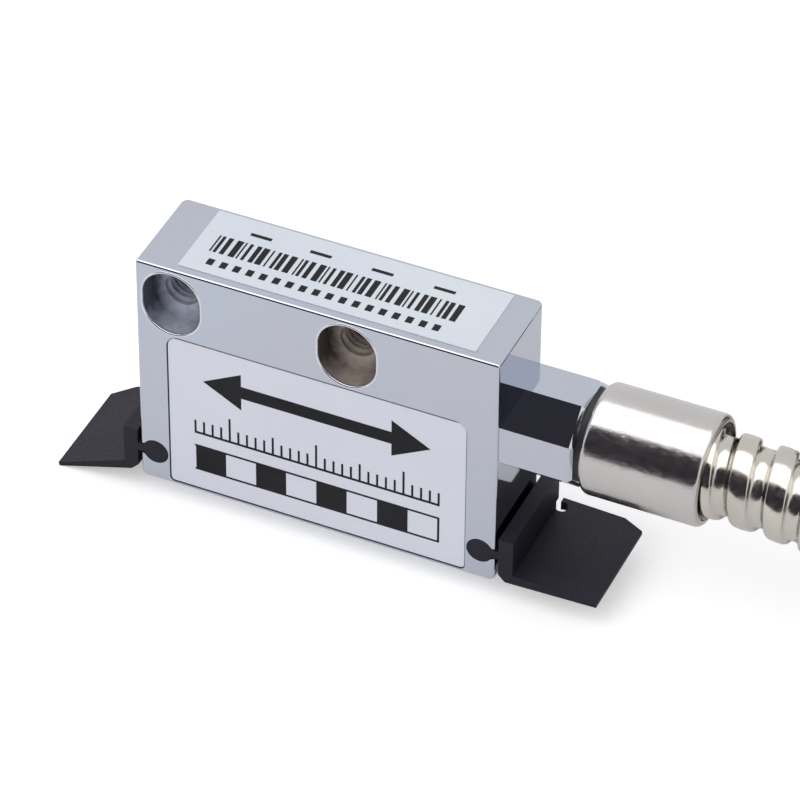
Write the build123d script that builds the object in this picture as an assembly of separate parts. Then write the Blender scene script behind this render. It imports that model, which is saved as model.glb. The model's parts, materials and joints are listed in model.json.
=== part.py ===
from build123d import *
import math
import os

# Magnetic linear encoder: a read head with two rubber wipers, an armoured lead and a nine-pin plug.
# Frame: the origin is the centre of the sensing face, which is the base of the head. +X runs along
# the travel direction towards the lead, +Y from the front plate to the back, +Z up. Millimetres.

# Room by which a cutting form passes the face that it cuts
overcut = 1.0

# Housing
body_length = 41.0
body_depth = 11.6
body_height = 29.2
edge_break = 0.3
corner_radius = 0.8
sensing_wall = 0.9
back_wall = 1.3

# Screw holes through the housing, with a slotted recess for each screw head
first_hole_inset = 4.05
hole_spacing = 20.0
hole_z = 24.65
thread_radius = 2.0
recess_width = 6.8
recess_height = 8.0
recess_depth = 2.8

# Front plate in its pocket, and the ledge that carries it
plate_side = 3.5
plate_height = 19.75
plate_thickness = 0.8
plate_bottom = 0.5
plate_top_corner = 1.3
plate_bottom_corner = 0.5
plate_sunk = 0.12
plate_gap = 0.12
ledge_side = 1.9
ledge_top = 1.6

# Label on the top face
label_side = 3.75
label_width = 9.9
label_thickness = 0.1
label_shift_x = 0.65
label_shift_y = 0.28

# Keyhole slots in the ends of the housing
keyhole_inset = 1.75
keyhole_z = 3.75
keyhole_radius = 1.5
keyhole_neck = 1.4
keyhole_blend = 0.35

# Rubber wipers: a bulb and neck in the keyhole, a flange and a thin lip
bulb_clearance = 0.05
neck_clearance = 0.2
flange_gap = 0.38
flange_thickness = 1.65
flange_top = 6.0
flange_back = 6.5
foot_z = 0.36
foot_corner = 0.8
lip_root = 1.1
lip_tip = 0.45
lip_back = 7.9
lip_corner_x = 2.4
lip_corner_y = 1.1
lip_notch = 0.75
lip_length_right = 10.3
lip_angle_right = 1.7
lip_length_left = 9.2
lip_angle_left = -17.8

# Electronics in the cavity
board_thickness = 1.0
board_back_gap = 1.4
board_side_gap = 1.4
board_bottom = 3.6
board_top = 16.8
sensor_board_length = 16.0
sensor_board_width = 7.6
sensor_board_thickness = 0.8
sensor_chip_size = 4.0
sensor_chip_height = 0.8
sensor_gap = 0.15
header_pins = 6
header_pitch = 1.27
header_size = 1.6
pin_width = 0.4
header_rise = 2.2
interpolator_size = 7.0
interpolator_height = 0.9
interpolator_x = -5.5
interpolator_z = 11.0
driver_length = 5.0
driver_width = 4.0
driver_height = 1.4
driver_x = 5.5
driver_z = 9.4
driver_legs = 4
driver_leg_pitch = 1.27
capacitor_length = 1.6
capacitor_width = 0.8
capacitor_count = 4
capacitor_pitch = 2.4
capacitor_x = 0.4
capacitor_z = 14.9

# Cable outlet: stub, seal, ferrule and the cable inside the hose
outlet_z = 18.55
stub_flats = 10.9
stub_length = 8.0
stub_chamfer = 0.35
spigot_radius = 4.0
thread_clearance = 0.05
nose_radius = 4.3
nose_length = 6.0
seal_width = 0.7
seal_radius = 5.0
ferrule_radius = 6.0
ferrule_length = 13.0
ferrule_front_round = 0.8
ferrule_rear_round = 0.65
mouth_radius = 5.25
mouth_depth = 1.4
hose_radius = 4.75
hose_grip = 5.7
hose_clearance = 0.05
cable_radius = 2.5
cable_clearance = 0.1
cable_end_gap = 0.4
cable_tail = 1.1
bay_length = 7.2
bay_height = 3.3
bay_half_depth = 3.6
core_radius = 0.3
core_pitch = 0.68
core_columns = 4
core_bend = 0.3
core_pad_z = 15.8
core_approach = 1.1

# Lead: route of the hose to the coil, the coil, and the route from the coil to the plug
strap_thickness = 0.8
turn_pitch = 9.55
turns_per_layer = 3
coil_layers = 3
coil_radius = 54.8
coil_x = 115.0
lead_points = [
    (36.5, 0.0, 18.55),
    (47.5, 0.0, 18.55),
    (57.5, 0.0, 16.8),
    (67.2, 0.0, 13.3),
    (76.0, 0.0, 8.35),
    (85.6, 0.0, 4.85),
    (95.6, 0.0, 3.1),
    (105.4, 0.0, 3.1),
]
tail_points = [
    (104.75, 19.25, 22.2),
    (125.25, 19.25, 24.0),
    (144.2, 27.1, 28.3),
    (158.7, 41.6, 32.4),
    (166.5, 60.55, 34.75),
    (166.5, 81.0, 34.75),
]
strap_width = 8.0
strap_slack = 0.3
strap_angles = (0.0, 105.0, 210.0)

# Plug at the end of the lead: hood, ferrule and nine-pin insert
hood_length = 18.0
hood_width = 33.0
hood_thickness = 15.6
neck_length = 16.0
neck_width = 16.6
hood_round = 1.2
shelf_depth = 1.5
hood_lip = 1.2
flange_plate_width = 30.8
flange_plate_height = 12.5
flange_plate_thickness = 1.0
flange_plate_clearance = 0.05
shroud_width = 16.9
shroud_height = 8.4
shroud_length = 5.8
shroud_corner = 2.4
shroud_wall = 0.5
shroud_slope = 10.0
insert_width = 19.0
insert_height = 10.4
insert_depth = 4.0
insert_face = 1.2
contact_pitch = 2.77
contact_rows = (5, 4)
row_gap = 2.84
contact_radius = 0.5
contact_reach = 5.2
cup_radius = 0.85
cup_length = 4.5
contact_clearance = 0.02
wire_gap = 0.3
core_room = 1.0
hood_screw_y = 6.0
hood_screw_x = 8.0
hood_screw_radius = 1.1
hood_screw_head = 2.0
hood_screw_head_height = 1.4
hood_screw_length = 10.0
hood_screw_slot = 0.6
hood_screw_clearance = 0.05

# Thumbscrews of the plug
screw_spacing = 25.0
screw_radius = 1.42
screw_clearance = 0.08
screw_reach = 5.5
collar_radius = 2.2
collar_length = 1.4
collar_depth = 6.0
running_gap = 0.3
knob_radius = 3.7
knob_length = 9.5
knob_flutes = 12
flute_radius = 0.55
knob_slot_width = 1.0
knob_slot_depth = 1.2
knob_shoulder = 1.5

# Places that follow from the sizes above
half_length = body_length / 2
half_depth = body_depth / 2
first_hole_x = -half_length + first_hole_inset
hole_xs = (first_hole_x, first_hole_x + hole_spacing)
plate_width = body_length - 2 * plate_side
label_length = body_length - 2 * label_side
pocket_floor_y = -half_depth + plate_thickness + plate_sunk
recess_floor = -half_depth + recess_depth
plate_top = plate_bottom + plate_height
cavity_half = plate_width / 2 - ledge_side
cavity_top = plate_top - ledge_top
cavity_back = half_depth - back_wall
board_back_y = cavity_back - board_back_gap
board_front_y = board_back_y - board_thickness
board_half = cavity_half - board_side_gap
sensor_board_z = sensing_wall + sensor_gap + sensor_chip_height
bay_top = outlet_z + bay_height
stub_end = half_length + stub_length
ferrule_start = stub_end + seal_width
ferrule_end = ferrule_start + ferrule_length
hose_start = ferrule_end - hose_grip
cable_start = cavity_half - cable_tail
coil_outer = coil_radius + turn_pitch * turns_per_layer / 2
coil_inner = coil_radius - turn_pitch * turns_per_layer / 2
floor_z = foot_z + lip_length_left * math.sin(math.radians(lip_angle_left))
coil_low_z = floor_z + strap_thickness + hose_radius
coil_high_z = coil_low_z + turn_pitch * (coil_layers - 1)
plug_x, plug_hose_end, plug_z = tail_points[-1]
plug_ferrule_start = plug_hose_end - hose_grip
plug_ferrule_end = plug_ferrule_start + ferrule_length
block_start = plug_ferrule_end + neck_length
hood_end = block_start + hood_length
plate_back_x = hood_end - hood_lip - flange_plate_thickness
plate_front_x = hood_end - hood_lip
insert_back_x = plate_back_x - insert_depth
cup_end_x = insert_back_x - cup_length
shroud_end = plate_front_x + shroud_length


def block(x, y, z):
    """Box between the low and high value of each axis."""
    spans = (x, y, z)
    centre = [(low + high) / 2 for low, high in spans]
    return Pos(*centre) * Box(*[high - low for low, high in spans])


def rod(radius, x0, x1, y=0.0, z=0.0):
    """Round bar along X."""
    return Pos((x0 + x1) / 2, y, z) * Rot(0, 90, 0) * Cylinder(radius, x1 - x0)


def post(radius, x, y, z0, z1):
    """Round bar along Z."""
    return Pos(x, y, (z0 + z1) / 2) * Cylinder(radius, z1 - z0)


def along_y(sketch, y0, y1):
    """A sketch drawn with X and Z coordinates, extruded from y0 to y1."""
    return extrude(Plane.XZ.offset(-y1) * sketch, y1 - y0)


def along_x(sketch, x0, x1):
    """A sketch drawn with Y and Z coordinates, extruded from x0 to x1."""
    return extrude(Plane.YZ.offset(x0) * sketch, x1 - x0)


def turned(points, z):
    """A closed outline of (x, radius) points, revolved about a line along X."""
    outline = Plane.XZ * make_face(Polyline(*points, close=True))
    return Pos(0, 0, z) * revolve(outline, Axis.X)


def round_edges(solid, radius, x, at_radius):
    """Fillet the circular edge of the given radius that lies in the plane x."""
    rim = [
        edge
        for edge in solid.edges().filter_by(GeomType.CIRCLE)
        if abs(edge.radius - at_radius) < 1e-4 and abs(edge.arc_center.X - x) < 1e-4
    ]
    return fillet(rim, radius)


def head_end(sketch):
    """Mirror a sketch from the +X end of the head to the -X end."""
    return mirror(sketch, about=Plane.YZ)


def plate_outline(grow):
    """Front plate outline in X and Z, grown all round by the given gap."""
    half = plate_width / 2 + grow
    low, high = plate_bottom - grow, plate_top + grow
    outline = Pos(0, (low + high) / 2) * Rectangle(2 * half, high - low)
    corners = outline.vertices().sort_by(Axis.Y)
    outline = fillet(corners[2:], plate_top_corner + grow)
    return fillet(outline.vertices().sort_by(Axis.Y)[:2], plate_bottom_corner + grow)


def keyhole_outline(radius, neck, reach):
    """Round bulb with a neck that runs out past the +X end, blended where they meet."""
    centre_x = half_length - keyhole_inset
    bulb = Pos(centre_x, keyhole_z) * Circle(radius)
    slot = Pos(centre_x + reach / 2, keyhole_z) * Rectangle(reach, neck)
    outline = bulb + slot
    meeting_x = centre_x + math.sqrt(radius**2 - (neck / 2) ** 2)
    joins = [v for v in outline.vertices() if abs(v.X - meeting_x) < 1e-4]
    return fillet(joins, keyhole_blend)


def make_housing():
    shell = block((-half_length, half_length), (-half_depth, half_depth), (0, body_height))
    base_ends = shell.edges().filter_by(Axis.Y).sort_by(Axis.Z)[:2]
    back_ends = shell.edges().filter_by(Axis.Z).sort_by(Axis.Y)[2:]
    shell = fillet(base_ends + back_ends, corner_radius)
    sharp = [e for e in shell.edges() if e.geom_type == GeomType.LINE and not is_tangent_edge(e)]
    shell = fillet(sharp, edge_break)
    shell -= along_y(plate_outline(plate_gap), -half_depth - overcut, pocket_floor_y)
    shell -= cavity()
    recess = SlotCenterToCenter(recess_height - recess_width, recess_width, rotation=90)
    for x in hole_xs:
        shell -= along_y(Pos(x, hole_z) * Circle(thread_radius), -half_depth, half_depth)
        shell -= along_y(Pos(x, hole_z) * recess, -half_depth - overcut, recess_floor)
    slot = keyhole_outline(keyhole_radius, keyhole_neck, 2 * keyhole_inset)
    shell -= along_y(slot, -half_depth - overcut, half_depth + overcut)
    shell -= along_y(head_end(slot), -half_depth - overcut, half_depth + overcut)
    shell -= rod(spigot_radius, cavity_half, half_length + overcut, 0, outlet_z)
    return shell


def is_tangent_edge(edge):
    """True for the seams that the corner rounding leaves on the end and back faces."""
    middle = edge @ 0.5
    at_corner_x = abs(abs(middle.X) - (half_length - corner_radius)) < 1e-4
    on_base = abs(middle.Z) < 1e-4
    on_back = abs(middle.Y - half_depth) < 1e-4
    seam_z = abs(middle.Z - corner_radius) < 1e-4
    seam_y = abs(middle.Y - (half_depth - corner_radius)) < 1e-4
    return seam_z or seam_y or (at_corner_x and (on_base or on_back))


def cavity():
    """Space for the electronics, with a bay above it where the cable comes in."""
    main = block((-cavity_half, cavity_half), (pocket_floor_y, cavity_back), (sensing_wall, cavity_top))
    bay_y = (-bay_half_depth, bay_half_depth)
    bay = block((cavity_half - bay_length, cavity_half), bay_y, (cavity_top - overcut, bay_top))
    return main + bay


def make_plate():
    return along_y(plate_outline(0), pocket_floor_y - plate_thickness, pocket_floor_y)


def make_label():
    x = (label_shift_x - label_length / 2, label_shift_x + label_length / 2)
    y = (label_shift_y - label_width / 2, label_shift_y + label_width / 2)
    return block(x, y, (body_height, body_height + label_thickness))


def make_wiper(lip_length, lip_angle):
    """Wiper at the +X end: bulb and neck, upright flange, and a lip at the given angle."""
    inner = half_length + flange_gap
    outer = inner + flange_thickness
    slope = math.radians(lip_angle)
    along = (math.cos(slope), math.sin(slope))
    heel = (inner + foot_corner, foot_z)
    toe = (heel[0] + lip_length * along[0], heel[1] + lip_length * along[1])
    tip = (toe[0] - lip_tip * along[1], toe[1] + lip_tip * along[0])
    crease_z = foot_z + lip_root + (outer - heel[0]) * math.tan(slope)
    grip = keyhole_outline(
        keyhole_radius - bulb_clearance,
        keyhole_neck - 2 * neck_clearance,
        keyhole_inset + flange_gap + foot_corner,
    )
    flange = make_face(
        Polyline(
            (inner, foot_z + foot_corner),
            heel,
            (outer, crease_z - lip_root / 2),
            (outer, flange_top),
            (inner, flange_top),
            close=True,
        )
    )
    lip = make_face(Polyline(heel, toe, tip, (outer, crease_z), (inner, crease_z), close=True))
    wiper = along_y(grip, -half_depth, half_depth)
    wiper += along_y(flange, -half_depth, flange_back)
    wiper += along_y(lip, -half_depth, lip_back)
    corner = make_face(
        Polyline(
            (toe[0] + overcut, lip_back - lip_corner_y - overcut * lip_corner_y / lip_corner_x),
            (toe[0] + overcut, lip_back + overcut),
            (toe[0] - lip_corner_x, lip_back + overcut),
            (toe[0] - lip_corner_x, lip_back),
            close=True,
        )
    )
    corner_low = min(foot_z, toe[1]) - overcut
    corner_high = foot_z + 2 * lip_root + overcut
    wiper -= extrude(Pos(0, 0, corner_low) * corner, corner_high - corner_low)
    heel_y = (flange_back, lip_back + overcut)
    wiper -= block((inner - overcut, outer), heel_y, (foot_z - overcut, flange_top))
    wiper -= post(lip_notch, outer + lip_notch / 2, flange_back, foot_z - overcut, foot_z + 2 * lip_root)
    return wiper


def make_boards():
    """Main board, sensor board and what is soldered to them."""
    nodes = {}
    nodes["main_board"] = block(
        (-board_half, board_half), (board_front_y, board_back_y), (board_bottom, board_top)
    )
    half = sensor_board_length / 2
    y = (-sensor_board_width / 2, sensor_board_width / 2)
    sensor_top = sensor_board_z + sensor_board_thickness
    nodes["sensor_board"] = block((-half, half), y, (sensor_board_z, sensor_top))
    half = sensor_chip_size / 2
    chip_low = sensor_board_z - sensor_chip_height
    nodes["sensor_chip"] = block((-half, half), (-half, half), (chip_low, sensor_board_z))
    nodes["board_header"] = make_header(sensor_top)
    half = interpolator_size / 2
    nodes["interpolator_chip"] = block(
        (interpolator_x - half, interpolator_x + half),
        (board_front_y - interpolator_height, board_front_y),
        (interpolator_z - half, interpolator_z + half),
    )
    nodes["driver_chip"] = make_driver()
    capacitors = []
    for i in range(capacitor_count):
        x = capacitor_x - capacitor_pitch * i
        y = (board_front_y - capacitor_width, board_front_y)
        z = (capacitor_z - capacitor_width / 2, capacitor_z + capacitor_width / 2)
        capacitors.append(block((x - capacitor_length / 2, x + capacitor_length / 2), y, z))
    nodes["capacitors"] = Compound(capacitors)
    return nodes


def make_header(base_z):
    """Right-angle pin header that stands on the sensor board and meets the main board."""
    half = header_pins * header_pitch / 2
    header = block(
        (-half, half), (board_front_y - header_size, board_front_y), (base_z, base_z + header_size)
    )
    pin_y = board_front_y - header_size / 2
    for i in range(header_pins):
        x = (i - (header_pins - 1) / 2) * header_pitch
        side = (x - pin_width / 2, x + pin_width / 2)
        top = base_z + header_size + header_rise
        header += block(side, (pin_y - pin_width / 2, pin_y + pin_width / 2), (base_z, top))
        header += block(side, (pin_y, board_front_y), (top - pin_width, top))
    return header


def make_driver():
    """Line driver with gull legs along both long sides."""
    body_y = (board_front_y - driver_height, board_front_y - pin_width / 2)
    half = driver_length / 2
    x = (driver_x - half, driver_x + half)
    z = (driver_z - driver_width / 2, driver_z + driver_width / 2)
    driver = block(x, body_y, z)
    foot_y = (board_front_y - pin_width, board_front_y)
    for i in range(driver_legs):
        x = driver_x + (i - (driver_legs - 1) / 2) * driver_leg_pitch
        span = (z[0] - 2 * pin_width, z[1] + 2 * pin_width)
        driver += block((x - pin_width / 2, x + pin_width / 2), foot_y, span)
    return driver


def make_stub():
    """Octagonal cable outlet with a spigot in the housing and a nose in the ferrule."""
    across = stub_flats / math.cos(math.pi / 8) / 2
    octagon = Rot(0, 0, 22.5) * RegularPolygon(across, 8)
    stub = Pos(0, 0, outlet_z) * along_x(octagon, half_length, stub_end)
    stub = chamfer(stub.faces().sort_by(Axis.X)[-1].edges(), stub_chamfer)
    stub += rod(spigot_radius - thread_clearance, cavity_half, half_length, 0, outlet_z)
    stub += rod(nose_radius, stub_end, ferrule_start + nose_length, 0, outlet_z)
    bore = rod(cable_radius + cable_clearance, 0, ferrule_end, 0, outlet_z)
    return stub - bore


def make_seal():
    seal = rod(seal_radius, stub_end, ferrule_start, 0, outlet_z)
    return seal - rod(nose_radius, 0, ferrule_end, 0, outlet_z)


def make_sleeve(front, mouth, bore, z):
    """Ferrule from its plain end to the end that takes the hose, which may face either way."""
    step = 1 if mouth > front else -1
    seat = mouth - step * hose_grip
    hose_bore = hose_radius + hose_clearance
    lip = mouth - step * mouth_depth
    sleeve = turned(
        [
            (front, bore),
            (front, ferrule_radius),
            (mouth, ferrule_radius),
            (mouth, mouth_radius),
            (lip, mouth_radius),
            (lip, hose_bore),
            (seat, hose_bore),
            (seat, bore),
        ],
        z,
    )
    sleeve = round_edges(sleeve, ferrule_front_round, front, ferrule_radius)
    return round_edges(sleeve, ferrule_rear_round, mouth, ferrule_radius)


def make_cores():
    """Eight cores in two rows that leave the cable and reach the main board one beside another."""
    cores = []
    for i in range(2 * core_columns):
        row, column = divmod(i, core_columns)
        y = ((core_columns - 1) / 2 - column) * 3 * core_radius
        z = outlet_z + (row - 0.5) * 4 * core_radius
        x = cable_start - (i + 1) * core_pitch
        turn_y = board_front_y - core_approach
        points = [(cable_start, y, z), (x, y, z), (x, turn_y, core_pad_z), (x, board_front_y, core_pad_z)]
        cores.append(make_wire(points, core_radius, core_bend))
    return Compound(cores)


def make_wire(points, radius, bend):
    path = FilletPolyline(*points, radius=bend)
    return sweep(Plane(origin=path @ 0, z_dir=path % 0) * Circle(radius), path=path)


def make_resin(contents):
    """Potting that fills the cavity round everything in it."""
    resin = cavity()
    for solid in contents:
        resin -= solid
    return resin


def route_radii(points):
    """Bend radius for each corner of a route: 0.45 of the shorter run over tan(turn / 2)."""
    radii = []
    corners = [Vector(*p) for p in points]
    for before, corner, after in zip(corners, corners[1:], corners[2:]):
        first, second = corner - before, after - corner
        turn = math.radians(first.get_angle(second))
        radii.append(0.45 * min(first.length, second.length) / math.tan(turn / 2))
    return radii


def make_hose(name, points):
    radii = route_radii(points)
    path = FilletPolyline(*points, radius=radii)
    hose = sweep(Plane(origin=path @ 0, z_dir=path % 0) * Circle(hose_radius), path=path)
    expected = math.pi * hose_radius**2 * path.length
    print(name, "bend radii", [round(r, 1) for r in radii])
    print(name, "length", round(path.length, 1), "volume share", round(hose.volume / expected, 4))
    return hose


def coil_section(grow):
    """Rounded section of the coil in radius and Z, grown sideways by the given amount."""
    width = coil_outer - coil_inner + 2 * hose_radius + 2 * grow
    height = coil_high_z - coil_low_z + 2 * hose_radius
    middle = ((coil_outer + coil_inner) / 2, (coil_low_z + coil_high_z) / 2)
    return Pos(*middle) * RectangleRounded(width, height, hose_radius)


def make_coil():
    ring = revolve(Plane.XZ * coil_section(0), Axis.Z)
    return Pos(coil_x, coil_outer, 0) * ring


def make_straps():
    """Flat straps round the coil, on which it lies."""
    straps = []
    outer = offset(coil_section(strap_slack), strap_thickness)
    loop = along_y(outer - coil_section(strap_slack), -strap_width / 2, strap_width / 2)
    for angle in strap_angles:
        straps.append(Pos(coil_x, coil_outer, 0) * Rot(0, 0, angle) * loop)
    return Compound(straps)


def shroud_outline(inset):
    """Rounded D outline of the plug's shroud in Y and Z."""
    top = shroud_width / 2 - inset
    half = shroud_height / 2 - inset
    bottom = top - 2 * half * math.tan(math.radians(shroud_slope))
    outline = make_face(Polyline((-top, half), (top, half), (bottom, -half), (-bottom, -half), close=True))
    return fillet(outline.vertices(), shroud_corner - inset)


def contact_places():
    """Places of the contacts in Y and Z, the longer row on top."""
    places = []
    for row, count in enumerate(contact_rows):
        for i in range(count):
            places.append(((i - (count - 1) / 2) * contact_pitch, (0.5 - row) * row_gap))
    return places


def make_plug_insert():
    """Flanged shroud, moulded insert and nine contacts."""
    shell = block(
        (plate_back_x, plate_front_x),
        (-flange_plate_width / 2, flange_plate_width / 2),
        (-flange_plate_height / 2, flange_plate_height / 2),
    )
    shell += along_x(shroud_outline(0), plate_back_x, shroud_end)
    shell -= along_x(shroud_outline(shroud_wall), plate_back_x - overcut, shroud_end + overcut)
    for side in (-1, 1):
        hole_y = side * screw_spacing / 2
        hole_radius = screw_radius + screw_clearance
        shell -= rod(hole_radius, plate_back_x - overcut, plate_front_x + overcut, hole_y)
    half_y, half_z = insert_width / 2, insert_height / 2
    insert = block((insert_back_x, plate_back_x), (-half_y, half_y), (-half_z, half_z))
    insert += along_x(shroud_outline(shroud_wall), plate_back_x, plate_front_x + insert_face)
    contacts = []
    for y, z in contact_places():
        contact = rod(contact_radius, insert_back_x, plate_front_x + insert_face + contact_reach, y, z)
        tip = contact.faces().sort_by(Axis.X)[-1].edges()
        contact = fillet(tip, 0.8 * contact_radius)
        contact += rod(cup_radius, cup_end_x, insert_back_x, y, z)
        contacts.append(contact)
        insert -= rod(contact_radius + contact_clearance, cup_end_x, shroud_end, y, z)
    return {"plug_shell": shell, "plug_insulator": insert, "plug_pins": Compound(contacts)}


def make_hood():
    """Both hood halves as one form, drawn about the plug's own axis."""
    half_z = hood_thickness / 2
    wide = block((block_start, hood_end), (-hood_width / 2, hood_width / 2), (-half_z, half_z))
    neck_x = (plug_ferrule_end, block_start + overcut)
    neck = block(neck_x, (-neck_width / 2, neck_width / 2), (-half_z, half_z))
    wide = fillet(wide.edges().filter_by(Axis.X), hood_round)
    neck_rear = neck.edges().filter_by(Axis.Z).sort_by(Axis.X)[:2]
    neck = fillet(neck.edges().filter_by(Axis.X) + neck_rear, hood_round)
    hood = wide + neck
    inner_y = insert_width / 2 + flange_plate_clearance
    inner_z = insert_height / 2 + flange_plate_clearance
    hood -= block((insert_back_x, hood_end + overcut), (-inner_y, inner_y), (-inner_z, inner_z))
    room_y, room_z = inner_y - shelf_depth, inner_z - shelf_depth
    hood -= block((block_start + core_room, insert_back_x), (-room_y, room_y), (-room_z, room_z))
    hood -= rod(spigot_radius, plug_ferrule_end - overcut, block_start + core_room)
    grow = flange_plate_clearance
    slot_y, slot_z = flange_plate_width / 2 + grow, flange_plate_height / 2 + grow
    hood -= block((plate_back_x, plate_front_x), (-slot_y, slot_y), (-slot_z, slot_z))
    for side in (-1, 1):
        y = side * screw_spacing / 2
        hood -= rod(screw_radius + screw_clearance, block_start - overcut, hood_end + overcut, y)
        pocket_start = block_start + collar_depth - running_gap
        pocket_end = pocket_start + collar_length + 2 * running_gap
        hood -= rod(collar_radius + running_gap, pocket_start, pocket_end, y)
    return hood


def make_hood_screws():
    """Two slotted screws that close the hood, and the holes they need in each half."""
    top = hood_thickness / 2
    head_top = top - running_gap
    head_low = head_top - hood_screw_head_height
    end = head_low - hood_screw_length
    x = plug_ferrule_end + hood_screw_x
    grow = hood_screw_clearance
    screws, holes = [], []
    for side in (-1, 1):
        y = side * hood_screw_y
        screw = post(hood_screw_radius, x, y, end, head_low)
        screw += post(hood_screw_head, x, y, head_low, head_top)
        slot_x = (x - hood_screw_head, x + hood_screw_head)
        slot_y = (y - hood_screw_slot / 2, y + hood_screw_slot / 2)
        screws.append(screw - block(slot_x, slot_y, (head_top - hood_screw_slot, top)))
        hole = post(hood_screw_radius + grow, x, y, end, head_low)
        holes.append(hole + post(hood_screw_head + grow, x, y, head_low, top + overcut))
    return screws, holes


def make_thumbscrew(side):
    """Captive jackscrew: fluted knob, shaft and collar."""
    y = side * screw_spacing / 2
    knob_end = block_start - running_gap
    knob_start = knob_end - knob_length
    screw = rod(knob_radius, knob_start, knob_end, y)
    screw = chamfer(screw.edges().filter_by(GeomType.CIRCLE), flute_radius)
    for i in range(knob_flutes):
        angle = 2 * math.pi * i / knob_flutes
        flute_y = y + knob_radius * math.cos(angle)
        flute_z = knob_radius * math.sin(angle)
        screw -= rod(flute_radius, knob_start - overcut, knob_end - knob_shoulder, flute_y, flute_z)
    half = knob_slot_width / 2
    slot_y = (y - knob_radius - overcut, y + knob_radius + overcut)
    screw -= block((knob_start - overcut, knob_start + knob_slot_depth), slot_y, (-half, half))
    screw += rod(screw_radius, knob_end - overcut, hood_end + screw_reach, y)
    collar = block_start + collar_depth
    screw += rod(collar_radius, collar, collar + collar_length, y)
    return screw


def make_plug_ferrule():
    """Sleeve on the hose at the plug, with a spigot between the hood halves."""
    bore = cable_radius + cable_clearance
    sleeve = make_sleeve(plug_ferrule_end, plug_ferrule_start, bore, 0)
    spigot = rod(spigot_radius - thread_clearance, plug_ferrule_end, plug_ferrule_end + neck_length / 4)
    return sleeve + (spigot - rod(bore, plug_ferrule_start, hood_end))


def make_plug_cores(cable_end):
    """Straight cores from the cable's end to eight of the solder cups."""
    cores = []
    bunch = 2 * cable_radius / insert_width
    for y, z in contact_places()[:2 * core_columns]:
        start = Vector(cable_end + wire_gap, bunch * y, 2 * bunch * z)
        end = Vector(cup_end_x - wire_gap, y, z)
        line = Line(start, end)
        cores.append(sweep(Plane(origin=start, z_dir=end - start) * Circle(core_radius), path=line))
    return Compound(cores)


def make_plug():
    """Plug drawn along X on its own axis, then turned to run along +Y at the end of the hose."""
    nodes = make_plug_insert()
    hood = make_hood()
    screws, holes = make_hood_screws()
    for hole in holes:
        hood -= hole
    far = hood_width
    along = (plug_ferrule_start, hood_end + overcut)
    nodes["plug_hood_upper"] = hood & block(along, (-far, far), (0, far))
    nodes["plug_hood_lower"] = hood & block(along, (-far, far), (-far, 0))
    nodes["hood_screws"] = Compound(screws)
    nodes["plug_ferrule"] = make_plug_ferrule()
    nodes["plug_cable"] = rod(cable_radius, plug_hose_end + cable_end_gap, block_start)
    nodes["plug_cores"] = make_plug_cores(block_start)
    nodes["thumbscrew_near"] = make_thumbscrew(1)
    nodes["thumbscrew_far"] = make_thumbscrew(-1)
    return {name: Pos(plug_x, 0, plug_z) * Rot(0, 0, 90) * solid for name, solid in nodes.items()}


def make_head():
    nodes = {
        "housing": make_housing(),
        "front_plate": make_plate(),
        "top_label": make_label(),
        "wiper_right": make_wiper(lip_length_right, lip_angle_right),
        "wiper_left": mirror(make_wiper(lip_length_left, lip_angle_left), about=Plane.YZ),
        "cable_stub": make_stub(),
        "stub_seal": make_seal(),
        "hose_ferrule": make_sleeve(ferrule_start, ferrule_end, nose_radius + thread_clearance, outlet_z),
        "inner_cable": rod(cable_radius, cable_start, hose_start - cable_end_gap, 0, outlet_z),
        "cable_cores": make_cores(),
    }
    electronics = make_boards()
    inside = list(electronics.values()) + [nodes["cable_cores"], nodes["inner_cable"]]
    nodes["potting_resin"] = make_resin(inside)
    return {**nodes, **electronics}


def make_lead():
    return {
        "hose_lead": make_hose("hose_lead", lead_points),
        "hose_coil": make_coil(),
        "hose_tail": make_hose("hose_tail", tail_points),
        "coil_straps": make_straps(),
    }


os.makedirs("parts", exist_ok=True)
nodes = {**make_head(), **make_lead(), **make_plug()}
for name, solid in nodes.items():
    export_step(solid, f"parts/{name}.step")
print(len(nodes), "nodes")
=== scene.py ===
import json
import math

import bmesh
import bpy
import numpy as np
from mathutils import Matrix, Vector


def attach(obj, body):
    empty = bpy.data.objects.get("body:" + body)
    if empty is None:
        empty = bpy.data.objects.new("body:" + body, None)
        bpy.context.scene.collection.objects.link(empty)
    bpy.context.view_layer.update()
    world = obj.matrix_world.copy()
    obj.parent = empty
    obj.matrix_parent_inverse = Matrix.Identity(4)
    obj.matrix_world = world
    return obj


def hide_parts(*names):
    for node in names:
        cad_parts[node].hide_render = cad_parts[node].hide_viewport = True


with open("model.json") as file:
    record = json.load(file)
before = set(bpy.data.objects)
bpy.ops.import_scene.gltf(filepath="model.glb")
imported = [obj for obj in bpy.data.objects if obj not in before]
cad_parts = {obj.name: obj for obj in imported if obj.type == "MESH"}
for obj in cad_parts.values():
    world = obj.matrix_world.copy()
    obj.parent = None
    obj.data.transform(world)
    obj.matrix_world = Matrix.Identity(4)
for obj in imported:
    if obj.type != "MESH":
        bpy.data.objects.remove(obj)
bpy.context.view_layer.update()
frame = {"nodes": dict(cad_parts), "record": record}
nodes = frame["nodes"]
MM = 0.001

# Lengths are in millimetres unless a comment says otherwise

# Camera
camera_lens = 233.65
camera_sensor = 36.0
camera_place = (174.4, -376.1, 364.3)
camera_right = (0.91133, 0.41160, 0.00642)
camera_up = (-0.27051, 0.58705, 0.76301)
camera_back = (0.31029, -0.69710, 0.64635)
clip_metres = (0.01, 30.0)

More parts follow.
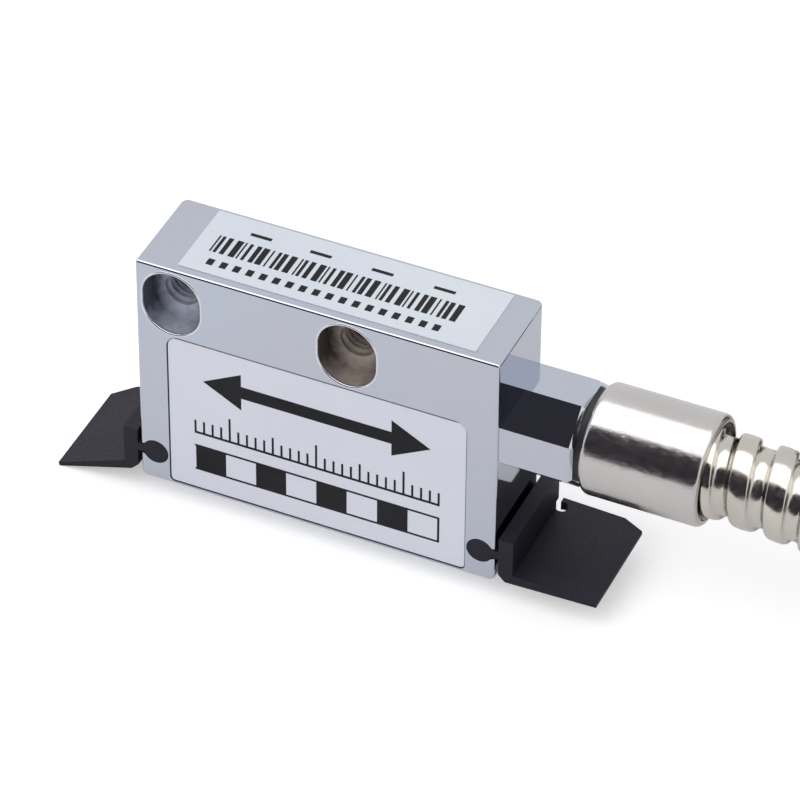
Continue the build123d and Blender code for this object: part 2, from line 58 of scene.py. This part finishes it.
# Lead: its length in metres, the points of its route, and its coil
hose_radius = 4.75
lead_points = [
    (36.5, 0.0, 18.55),
    (47.5, 0.0, 18.55),
    (57.5, 0.0, 16.8),
    (67.2, 0.0, 13.3),
    (76.0, 0.0, 8.35),
    (85.6, 0.0, 4.85),
    (95.6, 0.0, 3.1),
    (105.4, 0.0, 3.1),
]
tail_points = [
    (104.75, 19.25, 22.2),
    (125.25, 19.25, 24.0),
    (144.2, 27.1, 28.3),
    (158.7, 41.6, 32.4),
    (166.5, 60.55, 34.75),
    (166.5, 81.0, 34.75),
]
line_steps = 14
floor_z = -2.452
coil_centre = (115.0, 69.125)
coil_outer = 69.125
coil_inner = 40.475
turn_pitch = 9.55
turns_per_layer = 3
coil_layers = 3
coil_point_count = 127
points_per_turn = 16
coil_low_z = 3.098
coil_rise = turn_pitch * (coil_layers - 1)
climb_turns = 0.42
height_margin = 0.1

# Wound steel of the hose, in one pitch: a crowned band and a groove, as distance and radius
hose_pitch = 3.9
hose_phase = 0.65
hose_around = 24
hose_profile = [
    (0.00, 4.02),
    (0.10, 4.56),
    (0.30, 4.70),
    (1.15, 4.75),
    (2.00, 4.70),
    (2.20, 4.56),
    (2.30, 4.02),
    (3.10, 3.98),
]

# Threads in the screw holes, in one pitch as distance and radius
hole_xs = (-16.45, 3.55)
hole_z = 24.65
thread_span = (-3.0, 5.72)
thread_pitch = 0.7
thread_around = 40
thread_root = 1.99
thread_profile = [(0.0, 1.97), (0.3, 1.67), (0.4, 1.67)]

# Broken edge round each recess: reach into the recess, and depth from the front face
front_face_y = -5.8
recess_radius = 3.4
recess_shift = 0.6
rim_around = 64
rim_profile = [
    (0.0, 0.42), (0.09, 0.3), (0.14, 0.16), (0.125, 0.03),
    (0.04, -0.055), (-0.04, -0.08), (-0.12, -0.06), (-0.19, 0.0), (-0.19, 0.42),
]

# Straps round the coil: their angles in degrees, and how far their rounded edges draw in at the
# faces and between them
strap_angles = (0.0, 105.0, 210.0)
strap_width = 8.0
strap_thickness = 0.8
strap_gap = 0.02
edge_at_faces = 0.3 * strap_thickness
edge_between = 0.05
strap_around = 48

# Print on the front plate: a travel arrow, graduations and a strip of alternating poles
ink_thickness = 0.015
plate_face_y = -5.68
arrow_z = 15.4
arrow_tip, arrow_neck = 13.0, 8.6
arrow_head, arrow_shaft = 2.4, 0.8
scale_half = 14.0
scale_z, scale_line = 8.3, 0.3
tick_count, tick_half, first_long_tick = 29, 0.12, 4
short_tick, fifth_tick, tenth_tick = 1.5, 2.2, 3.0
pole_count = 8
pole_low, pole_high, pole_line = 3.2, 6.2, 0.25

# Print on the top label: plain bars, with dashes behind them and squares in front
label_face_z = 29.3
bars_start, bars_end = -14.2, 13.6
bar_front, bar_back = -1.3, 1.5
thin_bar, bar_step = 0.18, 0.17
thin_gap, gap_step = 0.22, 0.13
dash_xs = (-11.4, -4.6, 2.4, 9.4)
dash_length, dash_front, dash_back = 2.4, 2.75, 3.2
square_count, square_start, square_pitch, square_width = 18, -13.6, 1.5, 0.75
square_front, square_back = -3.4, -2.4

# Looks of metals and mouldings: two tints, the range of roughness, and of the grain its scale,
# its relief in metres and, on the ferrule, its stretch
metals = {
    "plated_housing": ((0.60, 0.605, 0.675), (0.575, 0.62, 0.715), (0.03, 0.09), 900.0, 0.0000012),
    # painted_highlight_edge: the housing chrome made paler, a painted highlight on the recess rims
    "painted_highlight_edge": ((0.73, 0.74, 0.81), (0.75, 0.77, 0.84), (0.03, 0.09), 900.0, 0.0000012),
    "nickel_ferrule": (
        (0.60, 0.57, 0.56), (0.64, 0.615, 0.605), (0.14, 0.26), 2600.0, 0.000006, (0.4, 1, 1)
    ),
    "hose_steel": ((0.60, 0.565, 0.51), (0.70, 0.67, 0.62), (0.1, 0.27), 1500.0, 0.000009),
    "hood_metal": ((0.58, 0.58, 0.58), (0.64, 0.64, 0.63), (0.26, 0.4), 3000.0, 0.00001),
    "tinned_steel": ((0.66, 0.66, 0.64), (0.72, 0.71, 0.68), (0.16, 0.3), 2000.0, 0.000006),
    "screw_steel": ((0.52, 0.52, 0.53), (0.6, 0.6, 0.6), (0.18, 0.32), 2400.0, 0.000006),
    "contact_brass": ((0.83, 0.62, 0.28), (0.88, 0.68, 0.35), (0.14, 0.25), 2400.0, 0.000004),
}
mouldings = {
    "printed_plate": ((0.66, 0.67, 0.765), (0.68, 0.695, 0.78), (0.3, 0.4), 1800.0, 0.000001),
    "label_film": ((0.66, 0.71, 0.79), (0.70, 0.745, 0.81), (0.2, 0.34), 1500.0, 0.000004),
    "print_ink": ((0.007, 0.0065, 0.009), (0.012, 0.011, 0.015), (0.4, 0.55), 1800.0, 0.000004),
    "wiper_rubber": (
        (0.0085, 0.007, 0.0165), (0.0135, 0.0115, 0.0235), (0.45, 0.62), 3500.0, 0.000012
    ),
    "seal_rubber": ((0.012, 0.012, 0.014), (0.02, 0.02, 0.023), (0.45, 0.6)),
    "cable_jacket": ((0.015, 0.015, 0.016), (0.022, 0.022, 0.023), (0.4, 0.55)),
    "circuit_board": ((0.012, 0.11, 0.045), (0.02, 0.15, 0.06), (0.25, 0.4)),
    "chip_plastic": ((0.012, 0.012, 0.013), (0.02, 0.02, 0.022), (0.4, 0.6)),
    "capacitor_ceramic": ((0.36, 0.25, 0.15), (0.42, 0.3, 0.19), (0.35, 0.5)),
    "potting": ((0.02, 0.021, 0.024), (0.03, 0.031, 0.035), (0.2, 0.35), 500.0, 0.00003),
    "core_insulation": ((0.5, 0.05, 0.03), (0.1, 0.2, 0.5), (0.35, 0.5)),
    "insert_plastic": ((0.012, 0.013, 0.016), (0.018, 0.02, 0.024), (0.35, 0.5)),
    "strap_fabric": ((0.012, 0.012, 0.014), (0.022, 0.022, 0.025), (0.75, 0.9), 4000.0, 0.0001),
}
usual_grain, usual_depth = 2500.0, 0.00002
matt_levels = {"print_ink": 0.2, "wiper_rubber": 0.28, "strap_fabric": 0.3}

# Noise in those looks: the part of its range that is used, scale and detail of the tint,
# and detail of the grain
noise_span = (0.3, 0.7)
metal_tint, metal_detail = (120.0, 2.0), 4.0
moulded_tint, moulded_detail = (90.0, 2.0), 3.0

# Bare metal in each recess: how far it reaches, its dark and its pale tint, and a mottled
# painted shade, pale at the middle of the recess and dark at its sides
bare_half_width, bare_half_depth, bare_half_height = 3.55, 5.55, 4.15
bare_tints = [
    ((0.1, 0.11, 0.15), (0.56, 0.59, 0.68)),
    ((0.09, 0.07, 0.062), (0.5, 0.43, 0.39)),
]
bare_roughness, bare_metallic = 0.42, 0.45
mottle_noise, mottle_share = (1300.0, 3.0), 0.33
painted_middle_shade, painted_side_darkening = 0.5, -0.42
bare_ramp = (0.3, 0.68)

# Pits in the ferrule, with their relief in metres, and the painted gap shadow at the top edge of
# the front plate
pit_noise, pit_ramp, pit_relief = (3800.0, 1.0), (0.6, 0.72), -0.000004
plate_top_z, plate_gap_shadow_reach = 20.25, 0.16
plate_gap_shadow_colour = (0.12, 0.12, 0.14, 1.0)

# Studio, in metres and degrees
card_away, card_half, card_foot = 1.0, 2.0, -0.05
front_card_degrees, back_card_degrees = 62.4, 63.6
soft_card_half, soft_card_z = 1.2, 1.0
front_glow, back_glow, soft_glow = (0.038, 0.036, 0.044), (0.8, 0.81, 0.82), (2.1, 2.1, 2.1)
floor_half, floor_lift = 4.0, 0.4
floor_colour = (0.86, 0.86, 0.87, 1)
sky_lighting, sky_seen = 0.72, 1.0
lamp_place, lamp_size, lamp_energy = (-0.35, -0.6, 0.95), 0.9, 5.0


# Meshes

def add_object(name, data):
    piece = bpy.data.objects.new(name, data)
    bpy.context.scene.collection.objects.link(piece)
    return piece


def mesh_piece(name, points, faces, smooth=True):
    """Piece on the head from points and faces, with no loose points and all faces outwards."""
    mesh = bpy.data.meshes.new(name)
    mesh.from_pydata([Vector(p) * MM for p in points], [], faces)
    mesh.validate()
    mesh.polygons.foreach_set("use_smooth", [smooth] * len(mesh.polygons))
    mesh.update()
    piece = add_object(name, mesh)
    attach(piece, "head")
    work = bmesh.new()
    work.from_mesh(mesh)
    loose = [v for v in work.verts if not v.link_faces]
    bmesh.ops.delete(work, geom=loose, context="VERTS")
    bmesh.ops.recalc_face_normals(work, faces=work.faces)
    work.to_mesh(mesh)
    work.free()
    return piece


def ring_faces(rings, sides):
    """Faces of a closed ring of equal sections."""
    faces = []
    for i in range(rings):
        k = (i + 1) % rings
        for j in range(sides):
            m = (j + 1) % sides
            faces.append((i * sides + j, i * sides + m, k * sides + m, k * sides + j))
    return faces


def helical_skin(profile, pitch, around, length):
    """Skin wound round a line: distance, angle and radius of its points, its faces and its rows."""
    steps = len(profile)
    rows = int(length / pitch) * steps
    offsets, radii = (np.array(values) for values in zip(*profile))
    row = np.arange(rows + steps + 1)[:, None]
    column = np.arange(around)[None, :]
    along = row // steps * pitch + offsets[row % steps] + pitch * column / around
    angle = 2 * np.pi * column / around + 0 * row
    radius = radii[row % steps] + 0.0 * column
    faces = []
    for k in range(rows):
        for j in range(around):
            here = k * around + j
            beside = here + 1 if j < around - 1 else (k + steps) * around
            faces.append((here, beside, beside + around, here + around))
    return along.ravel(), angle.ravel(), radius.ravel(), faces, rows


# Camera and lead

def make_camera():
    data = bpy.data.cameras.new("camera")
    data.lens = camera_lens
    data.sensor_width = camera_sensor
    data.clip_start, data.clip_end = clip_metres
    camera = add_object("camera", data)
    columns = [Vector(camera_right), Vector(camera_up), Vector(camera_back)]
    turn = Matrix(columns).transposed().to_4x4()
    camera.matrix_world = Matrix.Translation(Vector(camera_place) * MM) @ turn
    bpy.context.scene.camera = camera


def coil_points():
    """Control points of the coil: each layer lies on the one below and winds the other way."""
    spread = 1 / math.cos(math.pi / points_per_turn)
    points = []
    for i in range(coil_point_count):
        turns = (i + 0.5) / points_per_turn
        layer = int(turns / turns_per_layer)
        travel = turn_pitch * (turns - layer * turns_per_layer)
        radius = coil_inner + travel if layer % 2 else coil_outer - travel
        height = coil_low_z
        for change in range(1, coil_layers):
            share = (turns - change * turns_per_layer) / climb_turns + 0.5
            share = min(1.0, max(0.0, share))
            height += turn_pitch * share * share * (3 - 2 * share)
        angle = 2 * math.pi * (turns - 0.25)
        x = coil_centre[0] + spread * radius * math.cos(angle)
        y = coil_centre[1] + spread * radius * math.sin(angle)
        points.append((x, y, height))
    return points


def lead_line():
    """Points along the smooth line of the lead."""
    curve = bpy.data.curves.new("lead_line", "CURVE")
    curve.dimensions = "3D"
    curve.resolution_u = line_steps
    spline = curve.splines.new("NURBS")
    route = lead_points + coil_points() + tail_points
    spline.points.add(len(route) - 1)
    for point, place in zip(spline.points, route):
        point.co = (*[c * MM for c in place], 1.0)
    spline.order_u = 3
    spline.use_endpoint_u = True
    carrier = add_object("lead_line", curve)
    bpy.context.view_layer.update()
    drawn = bpy.data.meshes.new_from_object(carrier)
    line = np.array([v.co for v in drawn.vertices]) / MM
    bpy.data.objects.remove(carrier)
    bpy.data.meshes.remove(drawn)
    return line


def frames_along(line):
    """Distance and two untwisted cross directions at each point of a line."""
    steps = np.diff(line, axis=0)
    gaps = np.linalg.norm(steps, axis=1)
    distance = np.concatenate([[0.0], np.cumsum(gaps)])
    tangents = np.vstack([steps[:1], (steps[1:] + steps[:-1]) / 2, steps[-1:]])
    tangents /= np.linalg.norm(tangents, axis=1)[:, None]
    side = np.array([0.0, -1.0, 0.0])
    sides = []
    for tangent in tangents:
        side = side - tangent * np.dot(side, tangent)
        side /= np.linalg.norm(side)
        sides.append(side)
    sides = np.array(sides)
    return distance, sides, np.cross(tangents, sides)


def make_hose():
    """Wound hose along the whole lead, closed at both ends, and the line it follows."""
    line = lead_line()
    distance, sides, ups = frames_along(line)
    total = distance[-1]
    skin = helical_skin(hose_profile, hose_pitch, hose_around, total - hose_pitch)
    along, angle, radius, faces, rows = skin
    along = np.clip(along + hose_phase, 0.0, total)
    centre, side, up = (
        np.column_stack([np.interp(along, distance, table[:, axis]) for axis in range(3)])
        for table in (line, sides, ups)
    )
    outward = np.cos(angle)[:, None] * side + np.sin(angle)[:, None] * up
    points = centre + radius[:, None] * outward
    steps = len(hose_profile)
    first, last = len(points), len(points) + 1
    points = np.vstack([points, line[:1], line[-1:]])
    for row, hub in ((0, first), (rows, last)):
        ring = [row * hose_around + j for j in range(hose_around)]
        ring.append((row + steps) * hose_around)
        for a, b in zip(ring, ring[1:]):
            faces.append((hub, a, b))
        seam = [(row + k) * hose_around for k in range(steps + 1)]
        faces.append((hub, *seam))
    hose = mesh_piece("armoured_hose", points, faces)
    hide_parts("hose_lead", "hose_coil", "hose_tail")
    return hose, line


# Smaller pieces

def make_thread(index, hole_x):
    """Threaded lining of a screw hole, closed at its ends against the wall of the hole."""
    start, end = thread_span
    length = end - start - thread_pitch
    skin = helical_skin(thread_profile, thread_pitch, thread_around, length)
    along, angle, radius, faces, rows = skin
    y = np.clip(start + along, start, end)
    points = list(zip(hole_x + radius * np.cos(angle), y, hole_z + radius * np.sin(angle)))
    steps = len(thread_profile)
    for row, end_y in ((0, start), (rows, end)):
        base = len(points)
        for j in range(thread_around):
            turn = 2 * math.pi * j / thread_around
            across, up = thread_root * math.cos(turn), thread_root * math.sin(turn)
            points.append((hole_x + across, end_y, hole_z + up))
        for j in range(thread_around):
            here = row * thread_around + j
            beside = here + 1 if j < thread_around - 1 else (row + steps) * thread_around
            faces.append((here, beside, base + (j + 1) % thread_around, base + j))
        faces.append((base, *[(row + k) * thread_around for k in range(steps + 1)]))
    walls = len(points) - 2 * thread_around
    for j in range(thread_around):
        k = (j + 1) % thread_around
        faces.append((walls + j, walls + k, walls + thread_around + k, walls + thread_around + j))
    thread = mesh_piece(f"hole_thread_{index}", points, faces, smooth=False)
    return thread


def make_rim(index, hole_x):
    """Rounded edge of a recess, in a paler copy of the housing chrome that paints a brighter
    highlight.
    """
    points = []
    for i in range(rim_around):
        angle = 2 * math.pi * (i + 0.5) / rim_around
        across, up = math.cos(angle), math.sin(angle)
        for reach, depth in rim_profile:
            radius = recess_radius - reach
            z = hole_z + math.copysign(recess_shift, up) + radius * up
            points.append((hole_x + radius * across, front_face_y + depth, z))
    faces = ring_faces(rim_around, len(rim_profile))
    rim = mesh_piece(f"recess_rim_{index}", points, faces)
    return rim


def turns_at(line, degrees):
    """Radius and height of each turn of the coil where it passes an angle, without the tail."""
    local = line[:, :2] - np.array(coil_centre)
    away = np.radians(degrees)
    ahead = local @ np.array([math.cos(away), math.sin(away)])
    aside = local @ np.array([-math.sin(away), math.cos(away)])
    crossing = np.nonzero((aside[1:] * aside[:-1] <= 0) & (ahead[1:] > 0))[0]
    found = [(ahead[i], line[i, 2]) for i in crossing]
    top = coil_low_z + coil_rise + height_margin
    return np.array([(r, z) for r, z in found if z < top])


def strap_outline(turns, reach):
    """Outline drawn tight round circles of the given radius on the turns."""
    outline = []
    for i in range(strap_around):
        angle = 2 * math.pi * i / strap_around
        way = np.array([math.cos(angle), math.sin(angle)])
        outline.append(turns[np.argmax(turns @ way)] + reach * way)
    return outline


def make_strap(index, degrees, line):
    """Woven strap: a closed loop drawn tight round the turns."""
    turns = turns_at(line, degrees)
    inner = strap_outline(turns, hose_radius + strap_gap)
    outer = strap_outline(turns, hose_radius + strap_thickness)
    half = strap_width / 2
    full, cut = half - edge_between, half - edge_at_faces
    section = [
        (0.0, -cut), (0.0, cut), (0.25, full), (0.75, full),
        (1.0, cut), (1.0, -cut), (0.75, -full), (0.25, -full),
    ]
    angle = math.radians(degrees)
    points = []
    for (inner_r, inner_z), (outer_r, outer_z) in zip(inner, outer):
        for share, across in section:
            radius = inner_r + (outer_r - inner_r) * share
            z = inner_z + (outer_z - inner_z) * share
            x = coil_centre[0] + radius * math.cos(angle) - across * math.sin(angle)
            y = coil_centre[1] + radius * math.sin(angle) + across * math.cos(angle)
            points.append((x, y, z))
    strap = mesh_piece(f"coil_strap_{index}", points, ring_faces(len(inner), len(section)))
    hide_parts("coil_straps")
    return strap


def rectangle(u0, u1, v0, v1):
    return [(u0, v0), (u1, v0), (u1, v1), (u0, v1)]


def make_print(name, outlines, place):
    """Flat printed shapes; place turns (u, v, height) into a point."""
    points, faces = [], []
    for outline in outlines:
        base = len(points)
        count = len(outline)
        for height in (0.0, ink_thickness):
            points.extend(place(u, v, height) for u, v in outline)
        faces.append(tuple(range(base + count, base + 2 * count)))
        for i in range(count):
            k = (i + 1) % count
            faces.append((base + i, base + k, base + count + k, base + count + i))
    return mesh_piece(name, points, faces, smooth=False)


def plate_outlines():
    """Travel arrow over graduations and a strip of alternating poles."""
    outlines = [[
        (-arrow_tip, arrow_z),
        (-arrow_neck, arrow_z - arrow_head),
        (-arrow_neck, arrow_z - arrow_shaft),
        (arrow_neck, arrow_z - arrow_shaft),
        (arrow_neck, arrow_z - arrow_head),
        (arrow_tip, arrow_z),
        (arrow_neck, arrow_z + arrow_head),
        (arrow_neck, arrow_z + arrow_shaft),
        (-arrow_neck, arrow_z + arrow_shaft),
        (-arrow_neck, arrow_z + arrow_head),
    ]]
    for i in range(tick_count):
        x = i - scale_half
        height = short_tick
        if i % 10 == first_long_tick:
            height = tenth_tick
        elif i % 5 == first_long_tick:
            height = fifth_tick
        outlines.append(rectangle(x - tick_half, x + tick_half, scale_z, scale_z + height))
    end = scale_half + tick_half
    outlines.append(rectangle(-end, end, scale_z - scale_line, scale_z))
    width = 2 * scale_half / pole_count
    for i in range(0, pole_count, 2):
        x = width * i - scale_half
        outlines.append(rectangle(x, x + width, pole_low, pole_high))
    outlines.append(rectangle(-end, end, pole_low - pole_line, pole_low))
    outlines.append(rectangle(-end, end, pole_high, pole_high + pole_line))
    outlines.append(rectangle(end - pole_line, end, pole_low, pole_high))
    return outlines


def label_outlines():
    """Plain bars of uneven width, short dashes behind them and small squares in front."""
    outlines = []
    x = bars_start
    step = 0
    while x < bars_end:
        width = thin_bar + bar_step * (step * 5 % 4)
        outlines.append(rectangle(x, x + width, bar_front, bar_back))
        x += width + thin_gap + gap_step * (step * 7 % 3)
        step += 1
    for x in dash_xs:
        outlines.append(rectangle(x, x + dash_length, dash_front, dash_back))
    for i in range(square_count):
        x = square_start + square_pitch * i
        outlines.append(rectangle(x, x + square_width, square_front, square_back))
    return outlines


# Materials

def shader_of(material):
    return material.node_tree.nodes["Principled BSDF"]


def feed(tree, socket, value):
    """Link another node's output to a socket, or set it to a constant."""
    if isinstance(value, bpy.types.NodeSocket):
        tree.links.new(value, socket)
    else:
        socket.default_value = value


def calculate(tree, operation, *inputs):
    """Output of a math node."""
    node = tree.nodes.new("ShaderNodeMath")
    node.operation = operation
    for socket, value in zip(node.inputs, inputs):
        feed(tree, socket, value)
    return node.outputs[0]


def coordinate(tree, axis):
    source = tree.nodes.new("ShaderNodeTexCoord")
    split = tree.nodes.new("ShaderNodeSeparateXYZ")
    tree.links.new(source.outputs["Object"], split.inputs[0])
    return split.outputs[axis]


def noise(tree, scale, detail, stretch=(1.0, 1.0, 1.0)):
    source = tree.nodes.new("ShaderNodeTexCoord")
    mapping = tree.nodes.new("ShaderNodeMapping")
    mapping.inputs["Scale"].default_value = stretch
    texture = tree.nodes.new("ShaderNodeTexNoise")
    texture.inputs["Scale"].default_value = scale
    texture.inputs["Detail"].default_value = detail
    tree.links.new(source.outputs["Object"], mapping.inputs["Vector"])
    tree.links.new(mapping.outputs["Vector"], texture.inputs["Vector"])
    return texture.outputs["Fac"]


def ramp(tree, factor, span, first=(0.0, 0.0, 0.0), second=(1.0, 1.0, 1.0)):
    """Colour that goes from first to second as factor crosses the span."""
    node = tree.nodes.new("ShaderNodeValToRGB")
    for i, colour in enumerate((first, second)):
        node.color_ramp.elements[i].position = span[i]
        node.color_ramp.elements[i].color = (*colour, 1.0)
    tree.links.new(factor, node.inputs["Fac"])
    return node.outputs["Color"]


def carry(tree, factor, before, after):
    """Factor carried from one range of values to another."""
    node = tree.nodes.new("ShaderNodeMapRange")
    for socket, value in zip(("From Min", "From Max", "To Min", "To Max"), (*before, *after)):
        node.inputs[socket].default_value = value
    tree.links.new(factor, node.inputs["Value"])
    return node.outputs["Result"]


def relief(material, factor, distance):
    """Bump of the given depth in metres, added to an earlier one if there is one."""
    tree = material.node_tree
    normal = shader_of(material).inputs["Normal"]
    bump = tree.nodes.new("ShaderNodeBump")
    bump.inputs["Distance"].default_value = distance
    bump.inputs["Strength"].default_value = 1.0
    tree.links.new(factor, bump.inputs["Height"])
    if normal.links:
        tree.links.new(normal.links[0].from_socket, bump.inputs["Normal"])
    tree.links.new(bump.outputs["Normal"], normal)


def surface(name, metallic, tints, rough, broad, fine, depth):
    """Material of two tints, with a range of roughness and a relief; each pattern is a noise."""
    material = bpy.data.materials.new(name)
    material.use_nodes = True
    tree = material.node_tree
    inputs = shader_of(material).inputs
    inputs["Metallic"].default_value = metallic
    broad_noise, fine_noise = noise(tree, *broad), noise(tree, *fine)
    tree.links.new(ramp(tree, broad_noise, noise_span, *tints), inputs["Base Color"])
    tree.links.new(carry(tree, fine_noise, noise_span, rough), inputs["Roughness"])
    relief(material, fine_noise, depth)
    return material


def metal(name, first, second, rough, grain, depth, stretch=(1.0, 1.0, 1.0)):
    """Plated or drawn metal."""
    fine = (grain, metal_detail, stretch)
    return surface(name, 1.0, (first, second), rough, metal_tint, fine, depth)


def moulded(name, first, second, rough, grain=usual_grain, depth=usual_depth):
    """Moulded, printed or cast surface."""
    fine = (grain, moulded_detail)
    return surface(name, 0.0, (first, second), rough, moulded_tint, fine, depth)


def near(tree, axis, middle, reach):
    """1 where the object coordinate lies within reach of middle."""
    return calculate(tree, "COMPARE", coordinate(tree, axis), middle * MM, reach * MM)


def painted_recess_shade(tree, mottle, hole_x):
    """Mottled painted shade, pale at the middle of a recess and dark at its sides."""
    share = calculate(tree, "SUBTRACT", coordinate(tree, "X"), hole_x * MM)
    share = calculate(tree, "DIVIDE", share, recess_radius * MM)
    square = calculate(tree, "POWER", share, 2.0)
    darker = calculate(tree, "MULTIPLY", square, painted_side_darkening)
    shade = calculate(tree, "ADD", darker, painted_middle_shade)
    return calculate(tree, "MULTIPLY_ADD", mottle, mottle_share, shade)


def blend_in(material, socket, mask, value):
    """Mix a constant, or another output, into what feeds a socket of the shader."""
    tree = material.node_tree
    target = shader_of(material).inputs[socket]
    mix = tree.nodes.new("ShaderNodeMix")
    mix.data_type = "RGBA" if socket == "Base Color" else "FLOAT"
    before, after = [s for s in mix.inputs if s.enabled and s.name in ("A", "B")]
    factor = [s for s in mix.inputs if s.enabled and s.name == "Factor"][0]
    tree.links.new(mask, factor)
    feed(tree, before, target.links[0].from_socket if target.links else target.default_value)
    feed(tree, after, value)
    result = [s for s in mix.outputs if s.enabled][0]
    tree.links.new(result, target)


def bare_recesses(material):
    """The recesses and holes are machined, not polished; the plating is thin in the right one.
    Painted shade darkens their sides.
    """
    tree = material.node_tree
    inside = calculate(
        tree, "MULTIPLY",
        near(tree, "Y", 0.0, bare_half_depth), near(tree, "Z", hole_z, bare_half_height),
    )
    mottle = noise(tree, *mottle_noise)
    for hole_x, tints in zip(hole_xs, bare_tints):
        mask = calculate(tree, "MULTIPLY", inside, near(tree, "X", hole_x, bare_half_width))
        # The colour of each recess carries painted shade: pale at its middle, dark at its sides
        colour = ramp(tree, painted_recess_shade(tree, mottle, hole_x), bare_ramp, *tints)
        blend_in(material, "Base Color", mask, colour)
        blend_in(material, "Roughness", mask, bare_roughness)
        blend_in(material, "Metallic", mask, bare_metallic)


def make_materials():
    looks = {name: metal(name, *values) for name, values in metals.items()}
    looks.update((name, moulded(name, *values)) for name, values in mouldings.items())
    for name, level in matt_levels.items():
        shader_of(looks[name]).inputs["Specular IOR Level"].default_value = level
    bare_recesses(looks["plated_housing"])
    ferrule, plate = looks["nickel_ferrule"], looks["printed_plate"]
    pits = ramp(ferrule.node_tree, noise(ferrule.node_tree, *pit_noise), pit_ramp)
    relief(ferrule, pits, pit_relief)
    # Painted shadow: a dark band on the plate's top edge stands in for the shade in its gap to the
    # pocket
    painted_gap_shadow = near(plate.node_tree, "Z", plate_top_z, plate_gap_shadow_reach)
    blend_in(plate, "Base Color", painted_gap_shadow, plate_gap_shadow_colour)
    return looks


def dress_nodes(looks):
    """Give every CAD node the look of its slot."""
    slots = {entry["node"]: entry["material_slot"] for entry in frame["record"]["subparts"]}
    for name, piece in nodes.items():
        piece.data.materials.clear()
        piece.data.materials.append(looks[slots[name]])


# Studio

def flat_stage(name, corners):
    """A face that isn't part of the object, and the nodes of its material."""
    mesh = bpy.data.meshes.new(name)
    mesh.from_pydata(corners, [], [(0, 1, 2, 3)])
    piece = add_object(name, mesh)
    material = bpy.data.materials.new(name)
    material.use_nodes = True
    mesh.materials.append(material)
    return piece, material.node_tree


def card(name, corners, colour):
    """A card that only reflections see."""
    piece, tree = flat_stage(name, corners)
    tree.nodes.clear()
    glow = tree.nodes.new("ShaderNodeEmission")
    glow.inputs["Color"].default_value = (*colour, 1.0)
    output = tree.nodes.new("ShaderNodeOutputMaterial")
    tree.links.new(glow.outputs[0], output.inputs["Surface"])
    piece.visible_camera = False
    piece.visible_diffuse = False
    piece.visible_shadow = False
    piece.visible_transmission = False


def upright(y, top):
    """Corners of an upright card."""
    return [(x, y, z) for x, z in rectangle(-card_half, card_half, card_foot, top)]


def make_cards():
    """Dark card in front, pale one behind, and a bright one overhead in the gap between them."""
    front_top = math.tan(math.radians(front_card_degrees)) * card_away
    back_top = math.tan(math.radians(back_card_degrees)) * card_away
    card("dark_card", upright(-card_away, front_top), front_glow)
    card("back_card", upright(card_away, back_top), back_glow)
    low_y, high_y = -card_away / front_top, card_away / back_top
    overhead = rectangle(-soft_card_half, soft_card_half, low_y, high_y)
    card("soft_card", [(x, y, soft_card_z) for x, y in overhead], soft_glow)


def make_floor():
    """Pale floor that keeps the shadow and is lifted to white where the camera sees it."""
    corners = rectangle(-floor_half, floor_half, -floor_half, floor_half)
    tree = flat_stage("floor", [(x, y, floor_z * MM) for x, y in corners])[1]
    inputs = tree.nodes["Principled BSDF"].inputs
    inputs["Base Color"].default_value = floor_colour
    inputs["Roughness"].default_value = 0.9
    inputs["Specular IOR Level"].default_value = 0.0
    inputs["Emission Color"].default_value = (1, 1, 1, 1)
    path = tree.nodes.new("ShaderNodeLightPath")
    lift = calculate(tree, "MULTIPLY", path.outputs["Is Camera Ray"], floor_lift)
    tree.links.new(lift, inputs["Emission Strength"])


def make_sky():
    """White background where it is seen, and dimmer light from it."""
    world = bpy.data.worlds.new("studio")
    bpy.context.scene.world = world
    world.use_nodes = True
    tree = world.node_tree
    background = tree.nodes["Background"]
    background.inputs["Color"].default_value = (1, 1, 1, 1)
    path = tree.nodes.new("ShaderNodeLightPath").outputs
    seen = calculate(tree, "MAXIMUM", path["Is Camera Ray"], path["Is Glossy Ray"])
    shown = calculate(tree, "MAXIMUM", seen, path["Is Transmission Ray"])
    level = carry(tree, shown, (0.0, 1.0), (sky_lighting, sky_seen))
    tree.links.new(level, background.inputs["Strength"])


def make_lamp():
    lamp = bpy.data.lights.new("key", "AREA")
    lamp.shape = "SQUARE"
    lamp.size = lamp_size
    lamp.energy = lamp_energy
    key = add_object("key", lamp)
    key.location = lamp_place
    key.rotation_euler = (-Vector(lamp_place)).to_track_quat("-Z", "Y").to_euler()
    key.visible_glossy = False


make_camera()
hose, line = make_hose()
straps = [make_strap(i, angle, line) for i, angle in enumerate(strap_angles)]
threads = [make_thread(i, x) for i, x in enumerate(hole_xs)]
rims = [make_rim(i, x) for i, x in enumerate(hole_xs)]
prints = [
    make_print("plate_print", plate_outlines(), lambda u, v, height: (u, plate_face_y - height, v)),
    make_print("label_print", label_outlines(), lambda u, v, height: (u, v, label_face_z + height)),
]

looks = make_materials()
dress_nodes(looks)
own_pieces = {
    "hose_steel": [hose],
    "strap_fabric": straps,
    "plated_housing": threads,
    # The rims take the paler chrome: a painted highlight
    "painted_highlight_edge": rims,
    "print_ink": prints,
}
for look, pieces in own_pieces.items():
    for piece in pieces:
        piece.data.materials.append(looks[look])

make_cards()
make_floor()
make_sky()
make_lamp()
scene = bpy.context.scene
scene.view_settings.view_transform = "Standard"
